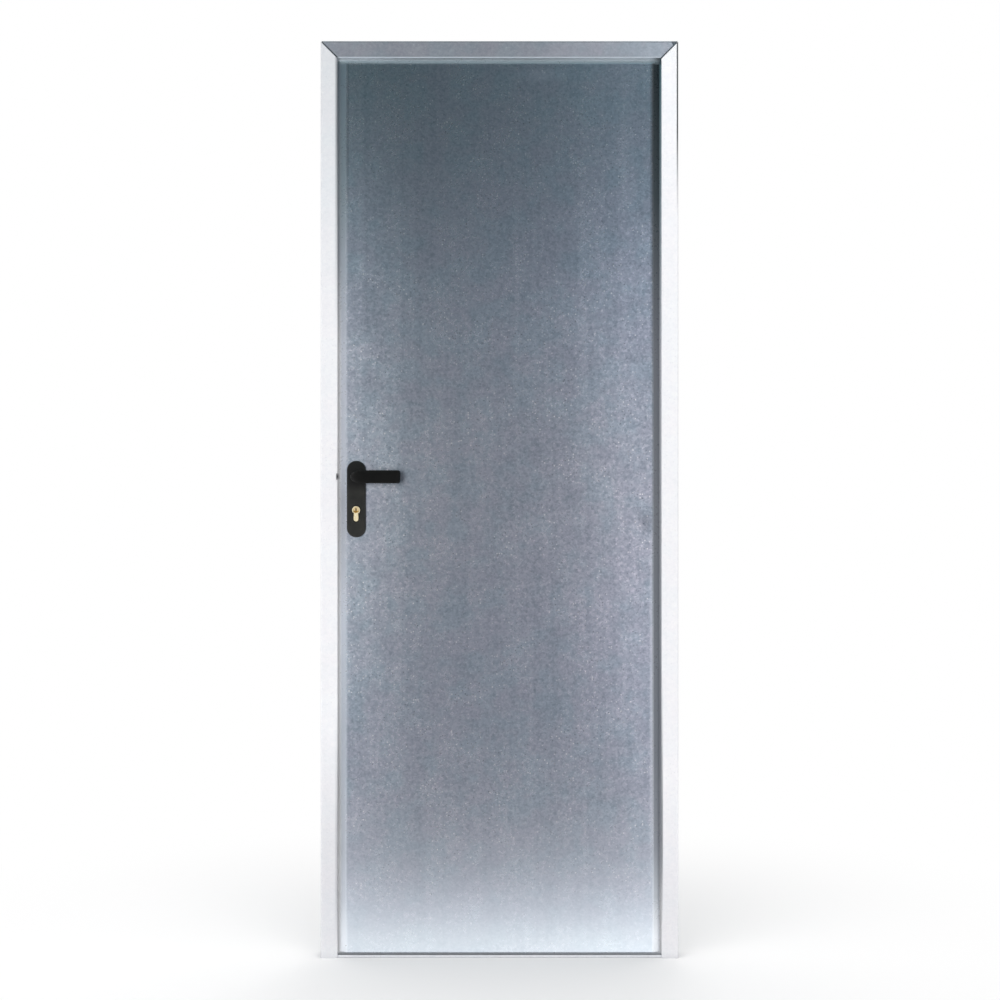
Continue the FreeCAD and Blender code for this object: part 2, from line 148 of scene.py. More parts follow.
# hot-dip zinc on rolled sheet: a smooth grey skin with broad cool and warm patches, loose clusters of small
# bright and dull flecks (drawn coarser than real spangle so that they show) and faint drag lines; it mirrors
# the room as a blur
def zincSheet(name, look):
    made, tree, place = newMaterial(name)
    crystals = node(tree, "ShaderNodeTexVoronoi", {"Vector": place, "Scale": 1 / (look["crystal"] * mm)})
    fleck = node(tree, "ShaderNodeSeparateColor", {"Color": crystals.outputs["Color"]})
    noise = {
        layer: node(tree, "ShaderNodeTexNoise", {
            "Vector": place, "Scale": 1 / (look[layer] * mm), "Detail": detail})
        for layer, detail in (("grain", 3.0), ("cloud", 4.0), ("patch", 2.0), ("swell", 1.0))}
    drawn = node(tree, "ShaderNodeMapping", {
        "Vector": place, "Scale": (1 / (look["drag"] * mm), *look["dragRun"])})
    noise["drag"] = node(tree, "ShaderNodeTexNoise", {"Vector": drawn, "Scale": 1.0, "Detail": 2.0})
    tone = node(tree, "ShaderNodeMath", {0: fleck, 1: look["fleckShare"]}, operation="MULTIPLY")
    for layer in ("grain", "cloud", "drag"):
        share = look[layer + "Share"]
        tone = node(tree, "ShaderNodeMath", {0: noise[layer], 1: share, 2: tone}, operation="MULTIPLY_ADD")
    colour = node(tree, "ShaderNodeValToRGB", {"Fac": tone}, stops=look["colours"])
    tint = node(tree, "ShaderNodeValToRGB", {"Fac": noise["patch"]}, stops=look["tints"])
    colour = node(tree, "ShaderNodeMix", {0: 1.0, 6: colour, 7: tint}, **multiply).outputs[2]
    for axis, fade in look.get("fades", {}).items():
        # a tone ramp along one axis: painted shade down the jambs, a painted sheen along the head, and darker
        # set-back faces on the jambs
        spot = node(tree, "ShaderNodeSeparateXYZ", {"Vector": place}).outputs[axis]
        run = node(tree, "ShaderNodeMapRange", {
            "Value": spot, "From Min": fade["from"], "From Max": fade["to"]})
        if "mottle" in fade:
            # the set-back faces darken unevenly, less on the bright crystals
            begin, end = look["biteTone"]
            bite = node(tree, "ShaderNodeMapRange", {
                "Value": tone, "From Min": begin, "From Max": end, "To Min": 1.0,
                "To Max": 1 - fade["mottle"]})
            run = node(tree, "ShaderNodeMath", {0: run, 1: bite}, operation="MULTIPLY")
        tint = node(tree, "ShaderNodeValToRGB", {"Fac": run}, stops=fade["stops"])
        colour = node(tree, "ShaderNodeMix", {0: 1.0, 6: colour, 7: tint}, **multiply).outputs[2]
    dots = node(tree, "ShaderNodeTexVoronoi", {"Vector": place, "Scale": 1 / (look["dot"] * mm)})
    pick = node(tree, "ShaderNodeSeparateColor", {"Color": dots.outputs["Color"]})
    begin, end = look["dotCore"]
    core = node(tree, "ShaderNodeMapRange", {
        "Value": dots.outputs["Distance"], "From Min": begin, "From Max": end, "To Min": 1.0, "To Max": 0.0})
    begin, end = look["dotCluster"]
    cluster = node(tree, "ShaderNodeMapRange", {
        "Value": noise["cloud"], "From Min": begin, "From Max": end, "To Min": look["dotSparse"],
        "To Max": 1.0})
    core = node(tree, "ShaderNodeMath", {0: core, 1: cluster}, operation="MULTIPLY")
    begin, end = look["dotChosen"]
    for channel, code, depth in (("Red", "bright", "dotBright"), ("Green", "dull", "dotDull")):
        chosen = node(tree, "ShaderNodeMapRange", {
            "Value": pick.outputs[channel], "From Min": begin, "From Max": end, "To Min": 0.0,
            "To Max": look[depth]})
        cover = node(tree, "ShaderNodeMath", {0: core, 1: chosen}, operation="MULTIPLY")
        paint = linear(look[code])
        colour = node(tree, "ShaderNodeMix", {0: cover, 6: colour, 7: paint}, **layOver).outputs[2]
    begin, end = look["roughTone"]
    rough = node(tree, "ShaderNodeMapRange", {
        "Value": tone, "From Min": begin, "From Max": end,
        "To Min": look["rough"] + look["roughSpread"], "To Max": look["rough"] - look["roughSpread"]})
    colour, metal = markedColour(tree, place, colour, look["metallic"], look.get("marks", []))
    begin, end = look["stainEdge"]
    for stain in look.get("stains", []):
        # a spot, darker and duller towards its middle
        offset = node(tree, "ShaderNodeVectorMath", {0: place, 1: stain["at"]}, operation="SUBTRACT")
        span = node(tree, "ShaderNodeVectorMath", {0: offset, 1: stain["span"]}, operation="DIVIDE")
        reach = node(tree, "ShaderNodeVectorMath", {0: span}, operation="LENGTH").outputs["Value"]
        ragged = node(tree, "ShaderNodeMath", {
            0: noise["grain"], 1: look["stainRagged"], 2: reach}, operation="MULTIPLY_ADD")
        depth = node(tree, "ShaderNodeMapRange", {
            "Value": ragged, "From Min": begin, "From Max": end, "To Min": stain["depth"], "To Max": 0.0})
        paint = linear(stain["colour"])
        colour = node(tree, "ShaderNodeMix", {0: depth, 6: colour, 7: paint}, **layOver).outputs[2]
        rough = node(tree, "ShaderNodeMath", {
            0: depth, 1: look["stainDull"], 2: rough}, operation="MULTIPLY_ADD")
    bump = node(tree, "ShaderNodeBump", {
        "Height": noise["swell"], "Strength": 1.0, "Distance": look["wave"] * mm})
    if "bow" in look:
        # the skin bows back a little towards its side folds: one less the share of the half width to a power
        bow = look["bow"]
        side = node(tree, "ShaderNodeSeparateXYZ", {"Vector": place})
        side = node(tree, "ShaderNodeMath", {0: side, 1: bow["half"]}, operation="DIVIDE")
        side = node(tree, "ShaderNodeMath", {0: side}, operation="ABSOLUTE")
        side = node(tree, "ShaderNodeMath", {0: side, 1: bow["power"]}, operation="POWER")
        rise = node(tree, "ShaderNodeMath", {0: 1.0, 1: side}, operation="SUBTRACT")
        bump = node(tree, "ShaderNodeBump", {
            "Height": rise, "Strength": 1.0, "Distance": bow["deep"] * mm, "Normal": bump})
    bump = node(tree, "ShaderNodeBump", {
        "Height": tone, "Strength": look["toneBump"], "Distance": look["toneDeep"] * mm, "Normal": bump})
    shader = node(tree, "ShaderNodeBsdfPrincipled", {
        "Base Color": colour, "Metallic": metal, "Roughness": rough, "Normal": bump})
    node(tree, "ShaderNodeOutputMaterial", {"Surface": shader})
    return made


nylonBase = {
    "grit": 0.8, "wear": 14.0, "wearTone": (0.3, 0.7), "spread": 0.07, "bump": 0.35, "deep": 0.05,
    "index": 1.53,
}


# moulded black nylon: a fine eroded grain that scatters the light, rubbed smoother where hands go
def mouldedNylon(name, look):
    made, tree, place = newMaterial(name)
    grit, wear = (
        node(tree, "ShaderNodeTexNoise", {"Vector": place, "Scale": 1 / (look[size] * mm), "Detail": detail})
        for size, detail in (("grit", 2.0), ("wear", 4.0)))
    colour = node(tree, "ShaderNodeValToRGB", {"Fac": wear}, stops=look["colours"])
    colour = markedColour(tree, place, colour, 0.0, look.get("marks", []))[0]
    begin, end = look["wearTone"]
    dull = node(tree, "ShaderNodeMapRange", {
        "Value": wear, "From Min": begin, "From Max": end,
        "To Min": look["rough"] - look["spread"], "To Max": look["rough"] + look["spread"]})
    bump = node(tree, "ShaderNodeBump", {
        "Height": grit, "Strength": look["bump"], "Distance": look["deep"] * mm})
    shader = node(tree, "ShaderNodeBsdfPrincipled", {
        "Base Color": colour, "Roughness": dull, "IOR": look["index"], "Specular IOR Level": look["gloss"],
        "Normal": bump})
    node(tree, "ShaderNodeOutputMaterial", {"Surface": shader})
    return made


# rolled brass bar, sawn and rubbed: warm and pale, with fine rub marks and duller patches
brassBase = {
    "metallic": 0.4, "drawn": (4.0, 1.0, 1.0), "fineDetail": 3.0, "broadDetail": 2.0, "fineShare": 0.4,
    "broadShare": 0.6, "duller": 0.06, "brighter": 0.04, "relief": "fine", "bump": 0.2,
}
# electroplated zinc on turned or pressed steel: bright and grey-blue, with tool marks and a fine cloudy bloom
steelBase = {
    "metallic": 1.0, "drawn": (0.2, 0.2, 1.0), "fineDetail": 2.0, "broadDetail": 4.0, "fineShare": 0.35,
    "broadShare": 0.65, "duller": 0.08, "brighter": 0.06, "relief": "tone", "bump": 0.25,
}
roughTone = (0.3, 0.7)
reliefDeep = 0.03


# bar metal of either kind: fine marks drawn out along one direction over broader patches, sizes in mm; both
# together tone the colour and the gloss
def barMetal(name, look):
    made, tree, place = newMaterial(name)
    drawn = node(tree, "ShaderNodeMapping", {"Vector": place, "Scale": look["drawn"]})
    layers = {
        size: node(tree, "ShaderNodeTexNoise", {
            "Vector": at, "Scale": 1 / (look[size] * mm), "Detail": look[size + "Detail"]})
        for at, size in ((drawn, "fine"), (place, "broad"))}
    tone = node(tree, "ShaderNodeMath", {0: layers["fine"], 1: look["fineShare"]}, operation="MULTIPLY")
    tone = node(tree, "ShaderNodeMath", {
        0: layers["broad"], 1: look["broadShare"], 2: tone}, operation="MULTIPLY_ADD")
    layers["tone"] = tone
    colour = node(tree, "ShaderNodeValToRGB", {"Fac": tone}, stops=look["colours"])
    colour, metal = markedColour(tree, place, colour, look["metallic"], look.get("marks", []))
    dull = node(tree, "ShaderNodeMapRange", {
        "Value": tone, "From Min": roughTone[0], "From Max": roughTone[1],
        "To Min": look["rough"] + look["duller"], "To Max": look["rough"] - look["brighter"]})
    bump = node(tree, "ShaderNodeBump", {
        "Height": layers[look["relief"]], "Strength": look["bump"], "Distance": reliefDeep * mm})
    shader = node(tree, "ShaderNodeBsdfPrincipled", {
        "Base Color": colour, "Metallic": metal, "Roughness": dull, "Normal": bump})
    node(tree, "ShaderNodeOutputMaterial", {"Surface": shader})
    return made


# painted reflections, highlights and shade along the leaf's folds, for the rebate's reflections and shadows;
# all end where the bare tongue behind the frame begins: left, right, top
tongue = [(toRight, -0.3570, -0.3548), (toLeft, -0.3570, -0.3548), (downward, -1.9690, -1.9665)]
rightCorner = (toLeft, -0.3530, -0.3270)  # the top bands fade out into it
foldPaintedLight = [
    # painted reflection and shade: both slopes darker near the top, the right one paler below the middle
    {"limits": [(toLeft, 0.3270, 0.3320), (upward, 1.55, 1.75)], "depth": 0.7, "colour": "#566670"},
    {"limits": [(toRight, 0.3268, 0.3348), (upward, 1.10, 1.75)], "depth": 0.8, "colour": "#2a363b"},
    {"limits": [(toRight, 0.3262, 0.3300), (downward, -1.00, -0.70), (upward, 0.10, 0.50)], "depth": 0.4,
     "colour": "#f4f8fc"},
    # painted reflection down the left slope, then painted light and shade on the shadowed strip beside the jamb
    {"limits": [(toLeft, 0.3290, 0.3380)], "depth": 0.92, "metallic": 0.15, "stops": [
        (0.02, "#e1e6ed"), (0.065, "#b5bbc4"), (0.12, "#a7adb5"), (0.25, "#afb6bf"), (0.37, "#bfc5cf"),
        (0.50, "#9ca0a8"), (0.545, "#b2b7c1"), (0.66, "#adb2bc"), (0.83, "#6e7c84"), (0.96, "#53656f")]},
    {"limits": [(toLeft, 0.3440, 0.3520)], "depth": 0.9, "metallic": 0.0, "stops": [
        (0.10, "#ffffff"), (0.18, "#e3e3e3"), (0.34, "#ffffff"), (0.45, "#ececec"), (0.66, "#eaeaea"),
        (0.77, "#a2a8b0"), (0.83, "#969ea4"), (0.96, "#6f7a84")]},
    # painted reflection down the right slope, then painted light and shade on the shadowed strip beside the jamb
    {"limits": [(toRight, 0.3312, 0.3376)], "depth": 0.99, "metallic": 0.15, "stops": [
        (0.02, "#e9edf3"), (0.065, "#aab0b7"), (0.12, "#82878f"), (0.22, "#72777f"), (0.50, "#72767d"),
        (0.66, "#696d75"), (0.83, "#333e44"), (0.96, "#15242a")]},
    {"limits": [(toRight, 0.3480, 0.3522)], "depth": 0.9, "metallic": 0.0, "stops": [
        (0.05, "#ffffff"), (0.12, "#d0d5dd"), (0.25, "#b5bac2"), (0.39, "#dbe0e6"), (0.66, "#f1f5fb"),
        (0.83, "#b6c9d2"), (0.96, "#7d9ea8")]},
    # painted reflection on the top fold: a dark shade line, a grey band, a bright painted highlight,
    # and painted shade left of its middle
    {"limits": [(upward, 1.9490, 1.9510)], "depth": 0.75, "colour": "#4a565c"},
    {"limits": [(upward, 1.9480, 1.9570), rightCorner], "depth": 1.0, "metallic": 0.1, "colour": "#8fa0a8"},
    {"limits": [(upward, 1.9560, 1.9605), rightCorner], "depth": 1.0, "metallic": 0.1, "colour": "#e6f1fa"},
    {"limits": [(upward, 1.9480, 1.9570), (toRight, -0.31, -0.20), (toLeft, -0.24, -0.08)], "depth": 0.35,
     "colour": "#77888f"},
]
footShade = {"limits": [(downward, -0.34, -0.06)], "depth": 0.8, "colour": "#c1c9d2"}
leafLook = {
    **zincBase, "colours": [(0.30, "#9eaab4"), (0.50, "#c1c9d2"), (0.70, "#e1e6ec")],
    "metallic": 1.0, "rough": 0.29, "bow": {"power": 4.0, "half": 0.336, "deep": 7.0},
    "marks": [footShade, *[{**mark, "limits": mark["limits"] + tongue} for mark in foldPaintedLight]],
    "stains": [
        {"at": (0.318, -0.020, 0.955), "span": (0.020, 0.2, 0.034), "depth": 0.35, "colour": "#7d828c"},
        {"at": (0.098, -0.020, 1.925), "span": (0.080, 0.2, 0.016), "depth": 0.25, "colour": "#8f979f"},
        # a dark spot on the lock-side slope, level with the latch
        {"at": (-0.354, -0.014, 1.050), "span": (0.007, 0.2, 0.009), "depth": 0.95, "colour": "#2c2f36"},
    ],
}
rearLook = {**leafLook, "marks": [footShade], "stains": []}

# the mitres run out to the frame's upper corners; a painted shade line runs along both sides of each, on jamb
# and head
slant = math.sqrt(0.5)
downLeft, downRight = (-slant, 0, -slant), (slant, 0, -slant)
mitre = -slant * (doorTop + outerLeft)
mitreShadeLine = {"depth": 0.75, "colour": "#4c5054"}
mitreShadeJamb = (mitre + 2.24 * mm, mitre + 1.04 * mm)
mitreShadeHead = (mitre - 2.16 * mm, mitre - 0.96 * mm)
jambLook = {
    **zincBase, "colours": [(0.30, "#f2f3f5"), (0.50, "#f8f8fa"), (0.70, "#fdfdfd")],
    "tints": [(0.38, "#fbfcfd"), (0.50, "#fcfcfd"), (0.62, "#fdfcfd")],
    "drag": 9.0, "wave": 0.4, "metallic": 0.1, "rough": 0.45, "dotBright": 0.2, "dotDull": 0.12,
}
returns = {"from": -0.0195, "to": -0.0175, "mottle": 0.6, "stops": [(0.0, "#ffffff"), (1.0, "#a9afb7")]}
# painted shade down the jambs: darker towards the foot, and on the left also towards the top
leftJambShade = {"from": 0.0, "to": doorTop, "stops": [
    (0.0, "#e9e9ea"), (0.06, "#e7e7e9"), (0.12, "#ebebec"), (0.25, "#ffffff"), (0.68, "#f8f8f8"),
    (0.85, "#e9ebec"), (1.0, "#dcdedf")]}
rightJambShade = {"from": 0.0, "to": doorTop, "stops": [
    (0.0, "#e9e9ea"), (0.06, "#ededee"), (0.12, "#f6f6f7"), (0.20, "#ffffff")]}
innerEdge = (toRight, -0.3600, -0.3545)
jambLeftLook = {**jambLook, "fades": {"Y": returns, "Z": leftJambShade}, "marks": [
    {"limits": [(downLeft, *mitreShadeJamb)], **mitreShadeLine},
    # painted shade on the inner edge's rounded nose, near the top and again above the foot
    {"limits": [innerEdge, (upward, 1.35, 1.80)], "depth": 0.9, "colour": "#6c7278"},
    {"limits": [innerEdge, (downward, -0.55, -0.28), (upward, 0.02, 0.14)], "depth": 0.45,
     "colour": "#6c7278"},
]}
jambRightLook = {**jambLook, "fades": {"Y": returns, "Z": rightJambShade}, "marks": [
    {"limits": [(downRight, *mitreShadeJamb)], **mitreShadeLine},
    # painted shade along the outer fold, towards the top
    {"limits": [(toRight, 0.3858, 0.3866), (toFront, 0.0180, 0.0195), (upward, 1.62, 1.80)], "depth": 0.95,
     "colour": "#3c4142"},
    # painted shade line on the inner edge, above the foot
    {"limits": [(toLeft, -0.3570, -0.3555), (downward, -0.64, -0.33), (upward, 0.06, 0.22)], "depth": 0.78,
     "colour": "#6c7278"},
]}
headLook = {
    **zincBase, "colours": [(0.30, "#aeb3bc"), (0.50, "#bfc2cb"), (0.70, "#d0d2d9")],
    "drag": 200.0, "wave": 0.4, "metallic": 0.55, "rough": 0.46, "dotBright": 0.15, "dotDull": 0.15,
    # painted sheen: the head is painted paler towards its right end
    "fades": {"X": {"from": outerLeft, "to": outerRight, "stops": [
        (0.0, "#d5d5d5"), (0.22, "#d0d0d0"), (0.50, "#d0d0d0"), (0.78, "#eaeaea"), (0.95, "#ffffff")]}},
    "marks": [
        # painted highlight along the head's lower rounded nose
        {"limits": [(downward, -1.9654, -1.9644)], "depth": 0.9, "metallic": 0.1, "colour": "#c6d0da"},
        # painted shade along the head's top front fold
        {"limits": [(upward, 1.9958, 1.9968), (toFront, 0.0150, 0.0170)], "depth": 0.5, "colour": "#6c7476"},
        {"limits": [(downRight, *mitreShadeHead)], **mitreShadeLine},
        {"limits": [(downLeft, *mitreShadeHead)], **mitreShadeLine},
    ],
}
sillLook = {
    **jambLook, "colours": [(0.30, "#e2e5e9"), (0.50, "#eaecef"), (0.70, "#f1f2f5")],
    # painted shade behind the threshold's front lip, seen through the gap under the leaf
    "marks": [{"limits": [(toBack, -0.0158, -0.0152)], "depth": 0.44, "colour": "#3c4043"}],
}
finishes = {
    "galvanised_leaf": zincSheet("galvanisedSheetLeaf", leafLook),
    "galvanised_frame": zincSheet("galvanisedSheetFrame", jambLook),
    "galvanised_head": zincSheet("galvanisedSheetHead", headLook),
    "zinc_hardware": barMetal("zincPlatedSteel", {
        **steelBase, "colours": [(0.3, "#a4a9ae"), (0.7, "#cdd1d4")], "broad": 6.0, "fine": 0.8,
        "rough": 0.32}),
    "brass": barMetal("rubbedBrass", {
        **brassBase, "colours": [(0.3, "#f0dca8"), (0.7, "#fdf2d0")], "fine": 1.2, "broad": 5.0,
        "rough": 0.44}),
    "black_nylon": mouldedNylon("mouldedBlackNylonPlate", {
        **nylonBase, "colours": [(0.3, "#1f1f1b"), (0.7, "#292924")], "gloss": 0.35, "rough": 0.5,
        # painted shade: the plate's upper part, behind and just under the lever, near black
        "marks": [{"limits": [(upward, 1.018, 1.034)], "depth": 0.8, "colour": "#070706"}]}),
}
gripNylon = mouldedNylon("mouldedBlackNylonGrip", {
    **nylonBase, "colours": [(0.3, "#090908"), (0.7, "#0e0e0c")], "gloss": 0.15, "rough": 0.6})
# plug brass: darker than the body as painted shade, with a painted highlight over the upper part of each face
plugBrass = barMetal("plugBrassPaintedLight", {
    **brassBase, "colours": [(0.3, "#a97c2c"), (0.7, "#c99f52")], "fine": 0.9, "broad": 4.0, "rough": 0.42,
    "marks": [
        {"limits": [(upward, 0.9752, 0.9764)], "depth": 0.9, "colour": "#e8cf9c"},
        # painted shade in the key's slot
        {"limits": [(toRight, -0.3134, -0.3130), (toLeft, 0.3106, 0.3110), (upward, 0.9742, 0.9748),
                    (downward, -0.9816, -0.9810)], "depth": 0.95, "metallic": 0.0, "colour": "#1c1308"}]})
weldZinc = barMetal("zincSprayedWeld", {
    **steelBase, "colours": [(0.3, "#868c91"), (0.7, "#aab0b5")], "broad": 2.0, "fine": 1.5, "rough": 0.52})
# cleat steel greyed so that the mitre gaps show dark: painted shade
cleatShadeSteel = barMetal("cleatSteelPaintedShade", {
    **steelBase, "colours": [(0.3, "#84898e"), (0.7, "#9ba0a5")], "broad": 5.0, "fine": 2.0, "rough": 0.55})
ownFinish = {
    "jamb_left": zincSheet("galvanisedSheetLeftJamb", jambLeftLook),
    "jamb_right": zincSheet("galvanisedSheetRightJamb", jambRightLook),
    "threshold": zincSheet("galvanisedSheetThreshold", sillLook),
    "rear_skin": zincSheet("galvanisedSheetRear", rearLook),
    "corner_cleat_left": cleatShadeSteel, "corner_cleat_right": cleatShadeSteel,
}
for part in frame["record"]["subparts"]:
    cad = frame["nodes"][part["node"]]
    cad.data.materials.clear()
    cad.data.materials.append(ownFinish.get(part["node"], finishes[part["material_slot"]]))
print("finishes on", len(frame["nodes"]), "nodes")


# the four-sided faces between neighbours in a grid of point numbers
def gridFaces(index):
    corners = [index[:-1, :-1], index[:-1, 1:], index[1:, 1:], index[1:, :-1]]
    return np.stack(corners, axis=-1).reshape(-1, 4)


seams = {"meet": 2e-6, "sliver": 1e-7}  # metres within which points are one, and below which a face is none


# one object from grids of points (rows, columns, xyz): neighbours become four-sided faces, columns join
# round, rows that meet are merged, and normals are then turned outwards
def surface(name, grids, finish, body, crease=38):
    points, quads, first = [], [], 0
    for grid in grids:
        rows, columns = grid.shape[:2]
        index = first + np.arange(rows * columns).reshape(rows, columns)
        quads.append(gridFaces(np.concatenate([index, index[:, :1]], axis=1)))
        points.append(grid.reshape(-1, 3))
        first += rows * columns
    mesh = bpy.data.meshes.new(name)
    mesh.from_pydata(np.concatenate(points).tolist(), [], np.concatenate(quads).tolist())
    work = bmesh.new()
    work.from_mesh(mesh)
    bmesh.ops.remove_doubles(work, verts=work.verts, dist=seams["meet"])
    bmesh.ops.dissolve_degenerate(work, edges=work.edges, dist=seams["sliver"])
    bmesh.ops.recalc_face_normals(work, faces=work.faces)
    work.to_mesh(mesh)
    work.free()
    mesh.shade_smooth()
    mesh.set_sharp_from_angle(angle=math.radians(crease))
    mesh.materials.append(finish)
    made = bpy.data.objects.new(name, mesh)
    scene.collection.objects.link(made)
    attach(made, body)
    return made


# eases from 0 to 1 between two values: three times the square of the way less twice its cube
def ease(value, low, high):
    t = np.clip((value - low) / (high - low), 0, 1)
    return t * t * (3 - 2 * t)


# a closed loop of points taken at given shares of its length, starting at its first point
def alongLoop(loop, shares):
    ring = np.concatenate([loop, loop[:1]])
    length = np.concatenate([[0], np.cumsum(np.linalg.norm(np.diff(ring, axis=0), axis=1))])
    return np.stack([np.interp(shares * length[-1], length, ring[:, k]) for k in range(2)], axis=-1)


# the share of its length at which each point of a closed loop stands
def loopShares(loop):
    step = np.linalg.norm(np.diff(np.concatenate([loop, loop[:1]]), axis=0), axis=1)
    return np.concatenate([[0], np.cumsum(step)[:-1]]) / step.sum()


# gives flat points, across and up, a third number: how far out they lie
def withDepth(points, out):
    return np.concatenate([points, np.full(points.shape[:-1] + (1,), out)], axis=-1)


# angles of a full round, without its last point
def fullTurn(count):
    return np.linspace(0, 2 * math.pi, count, endpoint=False)


# where a lever set's own numbers meet the door: across, out from the lock's middle plane, up from the spindle
spindleLow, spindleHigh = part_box("spindle")
spindleX = (spindleLow.x + spindleHigh.x) / 2
spindleZ = (spindleLow.z + spindleHigh.z) / 2
lockY = (spindleLow.y + spindleHigh.y) / 2


def lockPlace(across, out, up, side):
    return np.stack(np.broadcast_arrays(
        spindleX + across * mm, lockY + side * out * mm, spindleZ + up * mm), axis=-1)


# lever: a section carried along a flat path that leaves the plate along the spindle, bends to run along the
# leaf and turns back at its end. The section is |n/a|^e + |z/b|^e = 1, eased from a circle to a soft bar
lever = {
    "neckStart": 20.0, "outer": 73.0, "reach": 98.0, "neck": 10.5, "gripThick": 6.0, "gripTall": 14.0,
    "corner": 3.4, "bend": 16.0, "turn": 9.0, "turnEnd": 49.0, "cap": 3.0, "capShrink": 0.55, "waist": 0.35,
    "barFrom": 0.05, "barTo": 1.5, "columns": 72, "neckRows": 10, "bendRows": 25, "gripRows": 22,
    "backRows": 4, "capRows": 9,
}


def leverGrid(side):
    centre = lever["outer"] - lever["gripThick"]
    bendStart = centre - lever["bend"]
    turnX = lever["reach"] - lever["gripThick"] - lever["turn"]
    straight = lever["turnEnd"] + lever["cap"]
    quarter = np.linspace(0, math.pi / 2, lever["bendRows"])
    neck = np.linspace(lever["neckStart"], bendStart, lever["neckRows"])[:-1]
    grip = np.linspace(lever["bend"], turnX, lever["gripRows"])[1:-1]
    back = np.linspace(centre - lever["turn"], straight, lever["backRows"])[1:]
    dome = np.linspace(0, math.pi / 2, lever["capRows"])[1:]
    across = np.concatenate([
        np.zeros(neck.size), lever["bend"] * (1 - np.cos(quarter)), grip,
        turnX + lever["turn"] * np.sin(quarter), np.full(back.size + dome.size, turnX + lever["turn"])])
    out = np.concatenate([
        neck, bendStart + lever["bend"] * np.sin(quarter), np.full(grip.size, centre),
        centre - lever["turn"] * (1 - np.cos(quarter)), back, straight - lever["cap"] * np.sin(dome)])
    heading = np.concatenate([
        np.zeros(neck.size), quarter, np.full(grip.size, math.pi / 2), math.pi / 2 + quarter,
        np.full(back.size + dome.size, math.pi)])
    shrink = np.concatenate([
        np.ones(across.size - dome.size), 1 - lever["capShrink"] * (1 - np.cos(dome))])
    blend = ease(heading, lever["barFrom"], lever["barTo"])
    thick = lever["neck"] + (lever["gripThick"] - lever["neck"]) * blend
    tall = lever["neck"] + (lever["gripTall"] - lever["neck"]) * blend
    along = np.clip((across - lever["bend"]) / (turnX - lever["bend"]), 0, 1)
    waist = lever["waist"] * np.sin(along * math.pi)
    thick, tall = (thick - waist) * shrink, tall - (1 - shrink) * lever["gripThick"]
    power = 2 / (2 + (lever["corner"] - 2) * blend)
    turn = fullTurn(lever["columns"])[None, :]
    n = thick[:, None] * np.sign(np.cos(turn)) * np.abs(np.cos(turn)) ** power[:, None]
    z = tall[:, None] * np.sign(np.sin(turn)) * np.abs(np.sin(turn)) ** power[:, None]
    ring = [
        across[:, None] - np.cos(heading)[:, None] * n,
        out[:, None] + np.sin(heading)[:, None] * n - waist[:, None], z]
    first = [np.full((1, lever["columns"]), v) for v in (0.0, lever["neckStart"], 0.0)]
    last = [np.full((1, lever["columns"]), v) for v in (across[-1], out[-1], 0.0)]
    whole = [np.concatenate([a, b, c]) for a, b, c in zip(first, ring, last)]
    return lockPlace(*whole, side)


for side, cadName in ((-1, "front_lever"), (1, "rear_lever")):
    piece = surface(cadName + "_grip", [leverGrid(side)], gripNylon, "lever_set", crease=50)
    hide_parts(cadName)
print("levers bent and capped")

# plate: a long outline with full-round ends; its rim is a quarter ellipse, its face two patches that run from
# the neck's and the cylinder's holes out to the rim and meet on one line across
plate = {
    "half": 20.5, "top": 35.5, "foot": -131.5, "base": 19.0, "thick": 8.0, "rim": 3.6, "rimDrop": 4.2,
    "split": -37.0, "neckHole": 10.6, "cylinderUp": -72.0, "headHole": 8.8, "tailHole": 5.3,
    "tailFoot": -91.8, "bevel": 0.5, "endSteps": 20, "upperRows": 16, "lowerRows": 22, "splitSteps": 7,
    "rimRows": 9, "faceRows": 9, "holeSteps": 240,
}


# round head over a straight tail with a round foot, from the top clockwise; grow widens it all round
def cylinderLoop(head, tail, foot, up, grow, count):
    headSteps, footSteps = 60, 20
    r, w = head + grow, tail + grow
    join = math.asin(w / r)
    arc = np.linspace(0, math.pi - join, headSteps)
    right = np.stack([r * np.sin(arc), r * np.cos(arc)], axis=-1)
    low = np.linspace(0, math.pi / 2, footSteps)
    end = np.stack([w * np.cos(low), (foot - up) - w * np.sin(low)], axis=-1)
    half = np.concatenate([right, end])
    loop = np.concatenate([half, half[-2:0:-1] * (-1, 1)]) + (0, up)
    return alongLoop(loop, np.arange(count) / count)


# a circle from its top clockwise
def roundLoop(radius, up, count):
    turn = fullTurn(count)
    return np.stack([radius * np.sin(turn), up + radius * np.cos(turn)], axis=-1)


